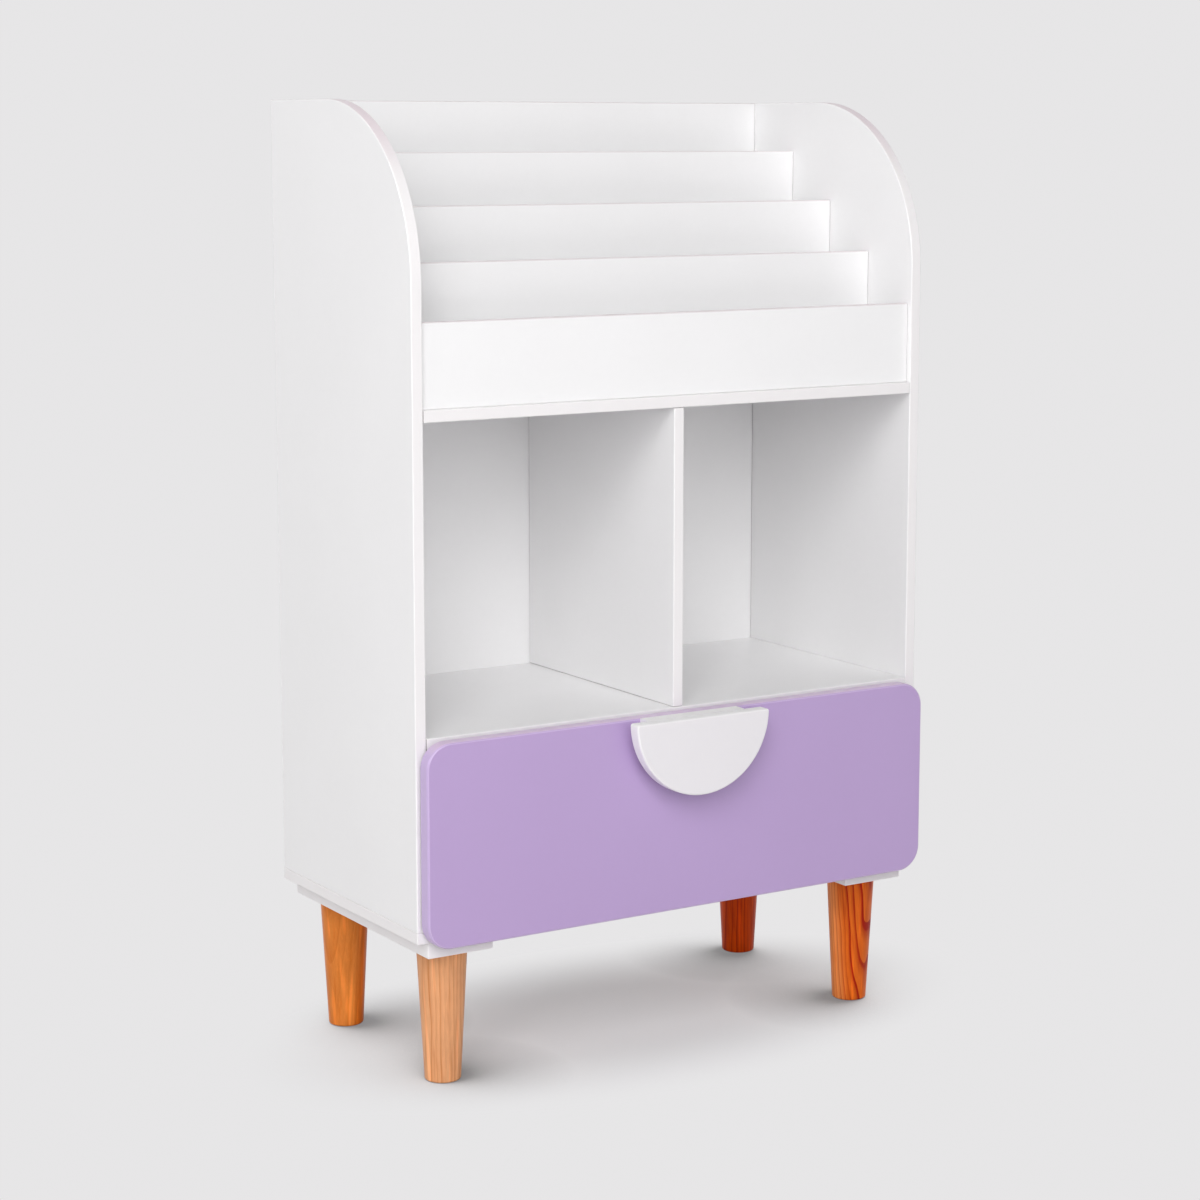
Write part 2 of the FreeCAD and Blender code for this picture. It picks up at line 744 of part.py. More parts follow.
def drawer_runner():
    """Strip on the box side that wraps under it and carries a flange over the channel."""
    top = "flange_underside + runner_sheet"
    under = "runner_web_lift + runner_sheet"
    runner = new_body("drawer_runner_blank")
    add_strip(runner, [
        ("-runner_wrap", "runner_web_lift"),
        ("runner_sheet", "runner_web_lift"),
        ("runner_sheet", "flange_underside"),
        ("runner_flange", "flange_underside"),
        ("runner_flange", top),
        ("0", top),
        ("0", under),
        ("-runner_wrap", under),
    ], "runner_length")
    bend_edges(runner, [(v.runner_sheet, v.flange_underside)],
               [(v.runner_sheet, v.runner_web_lift), (0, v.flange_underside + v.runner_sheet)])
    put(runner, "box_half", "runner_front", "track_top")
    return runner


def runners():
    cabinet_points = [((side * v.inner_half, v.cabinet_roller_y, v.cabinet_roller_z), X_AXIS * -side)
                      for side in SIDES]
    drawer_points = [((side * v.box_half, v.drawer_roller_y, v.drawer_roller_z), X_AXIS * side)
                     for side in SIDES]
    cabinet_rivet = rivet("cabinet_rivet_pattern", "roller_offset")
    cabinet_rivets = keep(scatter(cabinet_rivet, cabinet_points), "cabinet_roller_rivets")
    drawer_rivet = rivet("drawer_rivet_pattern", "drawer_roller_offset")
    drawer_rivets = keep(scatter(drawer_rivet, drawer_points), "drawer_roller_rivets")
    drawer_screws = screws("drawer_runner_screws", runner_screw, [
        ((side * (v.box_half + v.runner_sheet), y, v.drawer_roller_z), X_AXIS * -side)
        for side in SIDES for y in along(v.runner_front, v.runner_length, DRAWER_RUNNER_SCREW_SHARES)
    ])
    mirror("left_cabinet_runner", drill("right_cabinet_runner", cabinet_runner(),
                                        cabinet_runner_screws, cabinet_rivets))
    mirror("left_drawer_runner", drill("right_drawer_runner", drawer_runner(), drawer_screws, drawer_rivets))

    cabinet_roller = roller("cabinet_roller_blank")
    cabinet_roller.Placement.Rotation = FreeCAD.Rotation(Z_AXIS, -X_AXIS)
    put(cabinet_roller, "inner_half - roller_offset", "cabinet_roller_y", "cabinet_roller_z")
    drawer_roller = roller("drawer_roller_blank")
    drawer_roller.Placement.Rotation = FreeCAD.Rotation(Z_AXIS, X_AXIS)
    put(drawer_roller, "box_half + drawer_roller_offset", "drawer_roller_y", "drawer_roller_z")
    doc.recompute()
    mirror("left_cabinet_roller", keep(cabinet_roller, "right_cabinet_roller"))
    mirror("left_drawer_roller", keep(drawer_roller, "right_drawer_roller"))
    return drawer_screws


# Drawer
def drawer(drawer_screws):
    box_screws = screws("drawer_back_screws", countersunk_screw("box"), [
        ((side * v.box_half, v.box_back - v.board / 2, z), X_AXIS * -side)
        for side in SIDES for z in along(v.box_floor, v.box_top - v.box_floor, BOX_SCREW_SHARES)
    ])
    handle_screws = screws("handle_screws", pan_head_screw("handle"), [
        ((side * v.handle_screw_gauge / 2, v.front_back_face, v.front_top - v.handle_screw_drop), -Y_AXIS)
        for side in SIDES
    ])

    bottom, _ = box_body("drawer_bottom_blank",
                         ("2 * (box_inner_half + box_groove_depth)", "box_depth + box_groove_depth",
                          "box_bottom_thickness"),
                         ("-box_inner_half - box_groove_depth", "front_back_face - box_groove_depth",
                          "box_floor_underside"))
    keep(bottom, "drawer_bottom")

    right_side = board("drawer_side_blank", ("board", "box_depth", "box_height"),
                       ("box_inner_half", "front_back_face", "box_bottom_edge"))
    right = drill("drawer_right_side", right_side, bottom, drawer_dowels, drawer_cam_bolts, drawer_cam_blanks,
                  drawer_screws, box_screws)
    mirror("drawer_left_side", right)

    back = board("drawer_back_blank", ("2 * box_inner_half", "board", "box_top - box_floor"),
                 ("-box_inner_half", "box_back - board", "box_floor"))
    drill("drawer_back", back, box_screws)

    front, panel = box_body("drawer_front_blank",
                            ("2 * front_half", "front_thickness", "front_top - front_bottom"),
                            ("-front_half", "front_face", "front_bottom"))
    corners = [name for across in ("left", "right") for level in ("top", "bottom")
               for name in edges_on(panel, across, level)]
    panel = round_edges(front, panel, corners, "front_corner")
    panel = round_edges(front, panel, edges_on(panel, "front"), "front_round")
    round_edges(front, panel, edges_on(panel, "back"), "edge_round")
    drill("drawer_front", front, bottom, drawer_dowels, drawer_cam_bolts, handle_screws)

    spacer, _ = half_disc("handle_spacer_blank", "spacer_radius", "spacer_thickness")
    put(spacer, "0", "front_face - spacer_thickness", "front_top")
    drill("handle_spacer", spacer, handle_screws)
    plate, disc = half_disc("handle_plate_blank", "plate_radius", "plate_thickness")
    corners = edges_on(disc, "left", "front") + edges_on(disc, "right", "front")
    disc = round_edges(plate, disc, corners, "plate_corner")
    round_edges(plate, disc, edges_on(disc, "bottom") + edges_on(disc, "top"), "plate_round")
    put(plate, "0", "front_face - spacer_thickness - plate_thickness", "front_top")
    drill("handle_plate", plate, handle_screws)


def check_and_write():
    """Stops at any failed feature or unsound shape, then writes one file for each sub-part."""
    doc.recompute()
    failed = [thing.Label for thing in doc.Objects if {"Invalid", "Error"} & set(thing.State)]
    if failed:
        raise RuntimeError(f"failed features: {failed}")
    for node in nodes:
        if node.Shape.isNull() or not node.Shape.isValid() or not node.Shape.Solids:
            raise RuntimeError(f"unsound shape: {node.Label}")
    os.makedirs("parts", exist_ok=True)
    for node in nodes:
        node.Shape.exportStep(f"parts/{node.Label}.step")
        print(node.Label, len(node.Shape.Solids), "solids", round(node.Shape.Volume), "mm3")


carcass()
book_tiers()
base()
drawer(runners())
check_and_write()
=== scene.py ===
"""Looks of a children's bookshelf: lacquered boards, turned pine legs, steel fittings and a plain studio."""

import math

import bpy
from bpy.props import FloatProperty, FloatVectorProperty, PointerProperty
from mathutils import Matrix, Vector


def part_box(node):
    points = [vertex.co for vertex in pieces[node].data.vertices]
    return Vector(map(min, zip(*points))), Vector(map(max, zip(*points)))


bl_info = {
    "name": "Children's Bookshelf",
    "version": (1, 0, 0),
    "blender": (4, 5, 0),
    "location": "View3D > Sidebar > Bookshelf",
    "description": "Finishes the bookshelf's boards, legs and fittings, and sets it in a plain studio",
    "category": "Object",
}

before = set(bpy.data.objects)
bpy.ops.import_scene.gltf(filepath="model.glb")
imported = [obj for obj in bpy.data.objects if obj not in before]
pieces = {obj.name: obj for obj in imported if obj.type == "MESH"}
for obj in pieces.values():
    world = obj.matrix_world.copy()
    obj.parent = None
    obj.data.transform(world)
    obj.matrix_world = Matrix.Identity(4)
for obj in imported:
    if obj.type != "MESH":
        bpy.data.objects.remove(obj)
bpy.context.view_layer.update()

# White boards by the way they lie and by the ends that butt on other boards
SIDE_BOARDS = ("left_side_panel", "right_side_panel", "drawer_left_side", "drawer_right_side")
UPRIGHT_BOARDS = ("cubby_divider",)
FACING_BOARDS = (
    "back_panel", "front_tier_panel", "tier_divider_low", "tier_divider_middle", "tier_divider_high",
    "drawer_back",
)
CUBBY_FLOOR = ("lower_shelf",)
LEVEL_BOARDS = ("tier_shelf", "tier_floor_low", "tier_floor_middle", "tier_floor_high")
BASE_BOARDS = ("bottom_panel", "left_leg_rail", "right_leg_rail")
HANDLE = ("handle_plate", "handle_spacer")
RUNNERS = ("left_cabinet_runner", "right_cabinet_runner", "left_drawer_runner", "right_drawer_runner")
ROLLERS = ("left_cabinet_roller", "right_cabinet_roller", "left_drawer_roller", "right_drawer_roller")
STEEL_FITTINGS = (
    "leg_hanger_bolts", "leg_insert_nuts", "rail_screws", "side_screws", "back_panel_screws",
    "cabinet_runner_screws", "drawer_runner_screws", "drawer_back_screws", "handle_screws",
    "cabinet_roller_rivets", "drawer_roller_rivets", "cam_bolts", "drawer_cam_bolts",
)
CAST_FITTINGS = ("cam_housings", "drawer_cam_housings")
DOWELS = ("wood_dowels", "drawer_dowels")

# Share of the glue line on a board; how far its edge tone and its corners' painted highlight cover the face
FULL_LINE = 1.0
FAINT_LINE = 0.3
NO_LINE = 0.0
EDGE_COVER = 0.85
RIM_HIGHLIGHT_COVER = 0.7

# Wood: how far a ring strays, half the width over which the paler core ends, one year's ring from its early
# to its late wood, the usual roughness of the figure itself, and the dowels' rings and roughness
RING_WOBBLE = 0.012
CORE_FADE = 0.006
YEAR_RING = ((0.0, 0.07), (0.4, 0.09), (0.74, 0.5), (0.88, 1.0), (0.97, 0.9), (1.0, 0.07))
FIGURE_ROUGHNESS = 0.1
DOWEL_RING = 0.002
DOWEL_ROUGHNESS = 0.5

# Floor: its side, the ellipse round the object that takes the shadow, where in it the backdrop begins and is
# plain, and the reach, slope, gain and limit of the shade beside the feet
FLOOR_SIDE = 60.0
SHADOW_ELLIPSE = (0.36, 0.2, 1.0)
BACKDROP_BEGINS = 0.35
BACKDROP_PLAIN = 1.25
CONTACT_REACH = 0.12
CONTACT_SLOPE = (0.0, 0.0, 0.8)
CONTACT_GAIN = 1.8
CONTACT_DARKEST = 0.38

# Soft boxes: name, place, side and share of the power; the point they face; the rise of the sky's two lights
SOFT_BOXES = (
    ("soft_box_front", (-1.08, -4.6, 2.12), 2.9, 0.25),
    ("soft_box_corner", (-3.06, -3.7, 2.75), 3.2, 0.42),
    ("soft_box_top", (-1.98, -2.62, 3.38), 1.8, 0.18),
    ("soft_box_left", (-4.32, -0.28, 2.3), 2.5, 0.15),
)
SOFT_BOX_AIM = (0.0, -0.1, 0.5)
SKY_RISE = 0.15

# Camera: place, and degrees below the level and to the right of the front-to-back line
CAMERA_PLACE = (-1.57502, -2.48119, 0.94736)
CAMERA_DROP = 8.731
CAMERA_TURN = 32.132
SENSOR_WIDTH = 36.0

X_AXIS = (1.0, 0.0, 0.0)
Y_AXIS = (0.0, 1.0, 0.0)
Z_AXIS = (0.0, 0.0, 1.0)
NO_AXIS = (0.0, 0.0, 0.0)


def colour(name, description, default):
    """A colour that the user can change."""
    return FloatVectorProperty(name=name, description=description, default=default, subtype="COLOR",
                               size=3, min=0.0, max=1.0)


def length(name, description, default):
    """A length that the user can change, in metres."""
    return FloatProperty(name=name, description=description, default=default, unit="LENGTH", min=0.0)


def share(name, description, default):
    """A share from none to all that the user can change."""
    return FloatProperty(name=name, description=description, default=default, subtype="FACTOR",
                         min=0.0, max=1.0)


class BoardFinish(bpy.types.PropertyGroup):
    """Lacquered boards and the handle"""

    white: colour("White", "Satin white lacquer on the boards' faces", (0.92, 0.915, 0.92))
    white_edge: colour("White Edge", "White edge band, a little warmer than the faces", (0.90, 0.875, 0.88))
    # Painted shade: the edge band that faces up is painted a darker pinkish grey for the dimmer light from
    # above.
    white_top_shade: colour("White Top", "Edge band that faces up, shaded to a pinkish grey", (0.82, 0.70, 0.75))
    # Painted highlight: the white boards' rounded corners are painted paler, as where light catches them.
    white_rim_highlight: colour("White Rim", "Rounded corners of the white boards, rubbed paler", (0.965, 0.96, 0.955))
    handle: colour("Handle", "Lacquer on the handle, a little greyer than the boards", (0.862, 0.84, 0.866))
    lilac: colour("Lilac", "Satin lilac lacquer on the drawer front", (0.508, 0.366, 0.648))
    lilac_edge: colour("Lilac Edge", "Thinner lilac lacquer round the edge", (0.60, 0.465, 0.74))
    # Painted highlight and reflection: the drawer front's upward edge is painted paler, as where light from
    # above and reflections fall.
    lilac_top_highlight: colour("Lilac Top", "Upper edge of the drawer front, paler and pinker", (0.76, 0.60, 0.79))
    # Painted highlight: the drawer front's rounded corners are painted paler, as where light catches them.
    lilac_rim_highlight: colour("Lilac Rim", "Rounded corners of the drawer front, rubbed paler", (0.66, 0.53, 0.78))
    glue_line: colour("Glue Line", "Fine line where the edge band meets the face", (0.74, 0.68, 0.68))
    joint: colour("Joint", "Shadowed groove where a board butts on the next one", (0.36, 0.34, 0.345))
    satin: share("Satin", "Roughness of the lacquer", 0.36)
    peel: length("Peel", "Distance between the lacquer's small ripples", 0.0022)
    mottle: share("Mottle", "How far the lacquer's tone wanders across a board", 0.03)


class LegFinish(bpy.types.PropertyGroup):
    """Turned pine legs"""

    tan: colour("Tan", "Early wood of the front left leg", (0.83, 0.41, 0.20))
    tan_rings: colour("Tan Rings", "Late wood of the front left leg", (0.56, 0.17, 0.035))
    amber: colour("Amber", "Early wood of the rear left leg", (0.64, 0.135, 0.006))
    amber_core: colour("Amber Core", "Early wood of the rear left leg near its pith", (0.76, 0.235, 0.042))
    amber_rings: colour("Amber Rings", "Late wood of the rear left leg", (0.52, 0.10, 0.003))
    russet: colour("Russet", "Early wood of the front right leg", (0.78, 0.155, 0.012))
    russet_core: colour("Russet Core", "Early wood of the front right leg near its pith",
                        (0.88, 0.285, 0.075))
    russet_rings: colour("Russet Rings", "Late wood of the front right leg", (0.38, 0.012, 0.0))
    umber: colour("Umber", "Early wood of the rear right leg", (0.68, 0.07, 0.0))
    umber_rings: colour("Umber Rings", "Late wood of the rear right leg", (0.32, 0.008, 0.0))
    ring: length("Ring", "Distance between the yearly rings", 0.0052)
    lacquer: share("Lacquer", "Roughness of the clear lacquer", 0.34)


class FittingFinish(bpy.types.PropertyGroup):
    """Runners, rollers, fasteners, dowels and the drawer bottom"""

    zinc: colour("Zinc", "Zinc-plated steel", (0.60, 0.60, 0.62))
    cast_zinc: colour("Cast Zinc", "Die-cast cam housings", (0.42, 0.42, 0.43))
    epoxy: colour("Epoxy", "White epoxy coat on the runners", (0.80, 0.80, 0.79))
    nylon: colour("Nylon", "Nylon of the rollers", (0.78, 0.77, 0.73))
    beech: colour("Beech", "Early wood of the dowels", (0.60, 0.40, 0.22))
    beech_late: colour("Beech Rings", "Late wood of the dowels", (0.44, 0.26, 0.12))
    hardboard_face: colour("Hardboard Face", "White printed face of the drawer bottom", (0.76, 0.75, 0.74))
    hardboard_back: colour("Hardboard Back", "Brown back of the drawer bottom", (0.23, 0.13, 0.07))
    hardboard_fibre: colour("Hardboard Fibre", "Paler fibres in the brown back", (0.34, 0.2, 0.11))


class StudioSettings(bpy.types.PropertyGroup):
    """Floor, light and camera"""

    backdrop: colour("Backdrop", "Pale grey that the floor fades into", (0.797, 0.79, 0.797))
    floor: colour("Floor", "Colour of the floor round the object", (0.80, 0.79, 0.795))
    sky_behind: FloatProperty(name="Sky Behind", description="Light of the sky behind the object",
                              default=1.15, min=0.0)
    sky_right: FloatProperty(name="Sky Right", description="Light of the sky to the right",
                             default=0.65, min=0.0)
    power: FloatProperty(name="Power", description="Power of all soft boxes together",
                         default=240.0, unit="POWER")
    lens: FloatProperty(name="Lens", description="Focal length in millimetres",
                        default=83.99, min=10.0, unit="CAMERA")
    shift: FloatProperty(name="Shift", description="Upward shift of the lens as a share of the frame",
                         default=-0.03)


# Node trees
class Tree:
    """A node tree while it is being built."""

    def __init__(self, tree):
        self.tree = tree

    def feed(self, socket, value):
        """Links the socket to another one, or gives it a plain value."""
        if isinstance(value, bpy.types.NodeSocket):
            self.tree.links.new(value, socket)
        elif socket.type == "RGBA" and len(value) == 3:
            socket.default_value = (*value, 1.0)
        else:
            socket.default_value = value

    def add(self, kind, inputs=None, **settings):
        """A new node with the given inputs and settings."""
        node = self.tree.nodes.new("ShaderNode" + kind)
        for name, value in settings.items():
            setattr(node, name, value)
        for name, value in (inputs or {}).items():
            self.feed(node.inputs[name], value)
        return node

    def use(self, group, **inputs):
        """A placed node group; gives its outputs."""
        node = self.tree.nodes.new("ShaderNodeGroup")
        node.node_tree = group
        for name, value in inputs.items():
            self.feed(node.inputs[name], value)
        return node.outputs

    def math(self, operation, *values):
        node = self.add("Math", operation=operation)
        for socket, value in zip(node.inputs, values):
            self.feed(socket, value)
        return node.outputs[0]

    def vector(self, operation, *values):
        node = self.add("VectorMath", operation=operation)
        for socket, value in zip(node.inputs, values):
            self.feed(socket, value)
        return node.outputs["Value" if operation in ("DOT_PRODUCT", "LENGTH") else "Vector"]

    def scale(self, shade, level):
        """The colour times one level."""
        node = self.add("VectorMath", {"Scale": level}, operation="SCALE")
        self.feed(node.inputs[0], shade)
        return node.outputs["Vector"]

    def line(self, value, slope, base):
        """The value times the slope, plus the base."""
        return self.math("MULTIPLY_ADD", value, slope, base)

    def swing(self, value, width):
        """A value between nought and one, as a swing of the given width about nought."""
        return self.math("MULTIPLY", self.math("SUBTRACT", value, 0.5), width)

    def noise(self, place, scale, detail=2.0, roughness=0.5):
        return self.add("TexNoise", {"Vector": place, "Scale": scale, "Detail": detail,
                                     "Roughness": roughness}).outputs[0]

    def fade(self, value, low, high, start=0.0, end=1.0):
        """The value carried smoothly from low..high to start..end."""
        node = self.add("MapRange", interpolation_type="SMOOTHSTEP")
        for socket, given in zip(node.inputs, (value, low, high, start, end)):
            self.feed(socket, given)
        return node.outputs[0]

    def mix(self, part, first, second, blend="MIX"):
        """The first colour, with the given part of the second."""
        node = self.add("Mix", data_type="RGBA", blend_type=blend)
        for socket, value in zip((node.inputs[0], node.inputs[6], node.inputs[7]), (part, first, second)):
            self.feed(socket, value)
        return node.outputs[2]

    def ramp(self, value, stops):
        """The grey between the stops, each a position and a shade."""
        node = self.add("ValToRGB", {"Fac": value})
        elements = node.color_ramp.elements
        for _ in range(len(stops) - len(elements)):
            elements.new(1.0)
        for element, (position, shade) in zip(elements, stops):
            element.position = position
            element.color = (shade, shade, shade, 1.0)
        return node.outputs[0]

    def blend(self, part, first, second):
        """The first shader, with the given part of the second."""
        node = self.add("MixShader", {"Fac": part})
        self.feed(node.inputs[1], first.outputs[0])
        self.feed(node.inputs[2], second.outputs[0])
        return node


def emptied(owner):
    """The node tree of a material or a world, with nothing in it."""
    owner.use_nodes = True
    owner.node_tree.nodes.clear()
    return Tree(owner.node_tree)


def new_group(name, inputs, outputs):
    """An empty node group: its tree, the sockets that bring values in, and those that take them out."""
    tree = bpy.data.node_groups.new(name, "ShaderNodeTree")
    for label, kind in inputs:
        tree.interface.new_socket(label, in_out="INPUT", socket_type="NodeSocket" + kind)
    for label, kind in outputs:
        tree.interface.new_socket(label, in_out="OUTPUT", socket_type="NodeSocket" + kind)
    return Tree(tree), tree.nodes.new("NodeGroupInput").outputs, tree.nodes.new("NodeGroupOutput").inputs


def group(name, build):
    """The named node group, built the first time it is asked for."""
    found = bpy.data.node_groups.get(name)
    return found if found else build(name)


def build_board_edge(name):
    """Masks of a board's narrow edges, upward faces, painted-highlight corners, glue line and butted ends."""
    tree, given, result = new_group(
        name,
        [("Axis", "Vector"), ("Butt", "Vector"), ("Rear", "Vector"), ("Glued", "Vector")],
        [("Edge", "Float"), ("Up", "Float"), ("Rim", "Float"), ("Glue", "Float"), ("Groove", "Float")])
    normal = tree.add("NewGeometry").outputs["Normal"]
    square = tree.math("ABSOLUTE", tree.vector("DOT_PRODUCT", normal, given["Axis"]))
    ends = tree.vector("DOT_PRODUCT", tree.vector("ABSOLUTE", normal), given["Butt"])
    back = tree.vector("DOT_PRODUCT", normal, given["Rear"])
    tree.feed(result["Groove"], tree.fade(tree.math("MAXIMUM", ends, back), 0.3, 0.75))
    tree.feed(result["Up"], tree.fade(tree.vector("DOT_PRODUCT", normal, Z_AXIS), 0.5, 0.95))
    tree.feed(result["Edge"], tree.fade(square, 0.45, 0.8, 1.0, 0.0))
    rise = tree.fade(square, 0.72, 0.86)
    fall = tree.fade(square, 0.93, 0.99, 1.0, 0.0)
    rim = tree.math("MULTIPLY", rise, fall)
    tree.feed(result["Rim"], rim)
    glued = tree.fade(tree.vector("DOT_PRODUCT", normal, given["Glued"]), 0.1, 0.4)
    tree.feed(result["Glue"], tree.math("MULTIPLY", rim, glued))
    return tree.tree


def build_lacquer(name):
    """Sprayed lacquer: tone that wanders slowly, fine specks and small ripples."""
    tree, given, result = new_group(
        name,
        [("Place", "Vector"), ("Paint", "Color"), ("Mottle", "Float"), ("Satin", "Float"),
         ("Peel", "Float")],
        [("Color", "Color"), ("Roughness", "Float"), ("Height", "Float")])
    place = given["Place"]
    cloud = tree.noise(place, scale=7.0, detail=3.0, roughness=0.55)
    speck = tree.noise(place, scale=160.0)
    tone = tree.math("ADD", tree.math("MULTIPLY", cloud, 0.75), tree.math("MULTIPLY", speck, 0.25))
    drift = tree.swing(tone, tree.math("MULTIPLY", given["Mottle"], 2.0))
    tree.feed(result["Color"], tree.scale(given["Paint"], tree.math("ADD", drift, 1.0)))
    ripples = tree.math("DIVIDE", 1.0, given["Peel"])
    tree.feed(result["Height"], tree.noise(place, scale=ripples, roughness=0.4))
    uneven = tree.swing(tree.noise(place, scale=38.0, detail=3.0), 0.16)
    tree.feed(result["Roughness"], tree.math("ADD", given["Satin"], uneven))
    return tree.tree


def build_figure(name):
    """Wood figure round a pith on the Z axis: yearly rings, a paler core, streaks, fibres and clouds."""
    tree, given, result = new_group(
        name,
        [("Place", "Vector"), ("Early", "Color"), ("Young", "Color"), ("Late", "Color"), ("Core", "Float"),
         ("Ring", "Float"), ("Contrast", "Float")],
        [("Color", "Color"), ("Roughness", "Float"), ("Height", "Float")])
    place = given["Place"]

    def drawn_out(fine, coarse, detail=2.0, roughness=0.5):
        """Noise that is finer across the trunk than along it."""
        stretched = tree.vector("MULTIPLY", place, (fine, fine, coarse))
        return tree.noise(stretched, 1.0, detail, roughness)

    across = tree.vector("LENGTH", tree.vector("MULTIPLY", place, (1.0, 1.0, 0.0)))
    wobble = tree.swing(drawn_out(26.0, 7.0), RING_WOBBLE)
    count = tree.math("DIVIDE", tree.math("ADD", across, wobble), given["Ring"])
    ring = tree.ramp(tree.math("FRACT", count), YEAR_RING)
    year = tree.add("TexWhiteNoise", {"W": tree.math("FLOOR", count)}, noise_dimensions="1D").outputs[0]
    strength = tree.math("MULTIPLY", tree.line(year, 0.7, 0.3), given["Contrast"])
    young = tree.fade(tree.math("SUBTRACT", across, given["Core"]), -CORE_FADE, CORE_FADE, 1.0, 0.0)
    faint = tree.line(young, -0.6, 1.0)
    dark = tree.math("MULTIPLY", tree.math("MULTIPLY", ring, strength), faint)
    wood = tree.mix(dark, tree.mix(young, given["Early"], given["Young"]), given["Late"])
    streak = tree.fade(drawn_out(260.0, 5.0), 0.5, 0.78, 0.0, 0.45)
    wood = tree.mix(streak, wood, tree.mix(young, given["Late"], given["Early"]))
    fibre = drawn_out(1400.0, 26.0, detail=3.0, roughness=0.6)
    pale = tree.fade(drawn_out(150.0, 3.0, detail=1.0), 0.52, 0.75, 0.0, 0.3)
    tone = tree.math("ADD", tree.swing(fibre, 0.34), tree.math("ADD", pale, 0.97))
    cloud = tree.line(tree.noise(place, scale=24.0), 0.3, 0.85)
    tree.feed(result["Color"], tree.scale(wood, tree.math("MULTIPLY", tone, cloud)))
    tree.feed(result["Roughness"], tree.line(fibre, 0.16, tree.math("MULTIPLY", dark, 0.08)))
    tree.feed(result["Height"], tree.line(fibre, 0.6, tree.math("MULTIPLY", dark, -0.4)))
    return tree.tree


def build_fine_skin(name):
    """Plated, coated or moulded skin: fine grain, and small clouds of tone and gloss."""
    tree, given, result = new_group(
        name,
        [("Place", "Vector"), ("Base", "Color"), ("Grain", "Float"), ("Rough", "Float")],
        [("Color", "Color"), ("Roughness", "Float"), ("Height", "Float")])
    cloud = tree.noise(given["Place"], scale=130.0, detail=3.0, roughness=0.6)
    tree.feed(result["Color"], tree.scale(given["Base"], tree.line(cloud, 0.24, 0.88)))
    tree.feed(result["Roughness"], tree.math("ADD", given["Rough"], tree.swing(cloud, 0.25)))
    tree.feed(result["Height"], tree.noise(given["Place"], scale=given["Grain"]))
    return tree.tree


# Finishes
def new_material(name):
    """An empty node material; gives it, its tree and its surface shader."""
    material = bpy.data.materials.new(name)
    tree = emptied(material)
    surface = tree.add("BsdfPrincipled")
    tree.add("OutputMaterial", {"Surface": surface.outputs[0]})
    return material, tree, surface


def relief(tree, surface, height, depth, strength):
    """Raises the surface by the height, as a bump of the given depth."""
    bump = tree.add("Bump", {"Height": height, "Distance": depth, "Strength": strength})
    tree.feed(surface.inputs["Normal"], bump.outputs["Normal"])


def lacquered_board(name, finish, axis, butt, rear, glued, tones, glue):
    """Lacquer on a board that is thin along the axis, butts on others along butt and at its rear, and shows
    the given share of the glue line on its glued side."""
    face, edge, top, rim = tones
    material, tree, surface = new_material(name)
    place = tree.add("TexCoord").outputs["Object"]
    coat = tree.use(group("Sprayed lacquer", build_lacquer), Place=place, Paint=face, Mottle=finish.mottle,
                    Satin=finish.satin, Peel=finish.peel)
    edges = tree.use(group("Board edge", build_board_edge), Axis=axis, Butt=butt, Rear=rear, Glued=glued)
    # Upward faces of the edge band take the top tone: painted shade on the white boards, a painted highlight
    # on the drawer front.
    band = tree.mix(edges["Up"], edge, top)
    banded = tree.mix(tree.math("MULTIPLY", edges["Edge"], EDGE_COVER), coat["Color"], band)
    # The rounded corners take a painted highlight.
    highlighted = tree.mix(tree.math("MULTIPLY", edges["Rim"], RIM_HIGHLIGHT_COVER), banded, rim)
    lined = tree.mix(tree.math("MULTIPLY", edges["Glue"], glue), highlighted, finish.glue_line, "MULTIPLY")
    tree.feed(surface.inputs["Base Color"], tree.mix(edges["Groove"], lined, finish.joint, "MULTIPLY"))
    tree.feed(surface.inputs["Roughness"], coat["Roughness"])
    surface.inputs["Coat Weight"].default_value = 0.12
    surface.inputs["Coat Roughness"].default_value = 0.22
    relief(tree, surface, coat["Height"], depth=0.0002, strength=0.12)
    return material


def turned_pine(name, finish, middle, pith, lean, core, ring, contrast, early, young, late):
    """Clear-lacquered pine whose pith lies beside the leg's middle and leans by the given angles. Its young
    wood reaches from the pith to the edge of the core."""
    material, tree, surface = new_material(name)
    place = tree.add("TexCoord").outputs["Object"]
    centred = tree.add("Mapping", {"Vector": place, "Location": (-middle[0], -middle[1], 0.0)})
    leant = tree.add("Mapping", {"Vector": centred.outputs[0], "Rotation": (*lean, 0.0),
                                 "Location": (-pith[0], -pith[1], 0.0)})
    wood = tree.use(group("Wood figure", build_figure), Place=leant.outputs[0], Early=early, Young=young,
                    Late=late, Core=core, Ring=ring, Contrast=contrast)
    tree.feed(surface.inputs["Base Color"], wood["Color"])
    gloss = tree.math("ADD", wood["Roughness"], finish.lacquer - FIGURE_ROUGHNESS)
    tree.feed(surface.inputs["Roughness"], gloss)
    surface.inputs["Specular IOR Level"].default_value = 0.12
    relief(tree, surface, wood["Height"], depth=0.0003, strength=0.25)
    return material


def plated(name, base, grain, rough, strength, metallic=0.0):
    """Plain plated, coated or moulded finish."""
    material, tree, surface = new_material(name)
    place = tree.add("TexCoord").outputs["Object"]
    skin = tree.use(group("Fine skin", build_fine_skin), Place=place, Base=base, Grain=grain, Rough=rough)
    tree.feed(surface.inputs["Base Color"], skin["Color"])
    tree.feed(surface.inputs["Roughness"], skin["Roughness"])
    surface.inputs["Metallic"].default_value = metallic
    relief(tree, surface, skin["Height"], depth=0.0001, strength=strength)
    return material


def dress(names, material):
    """Puts the material on the named pieces."""
    for name in names:
        pieces[name].material_slots[0].material = material


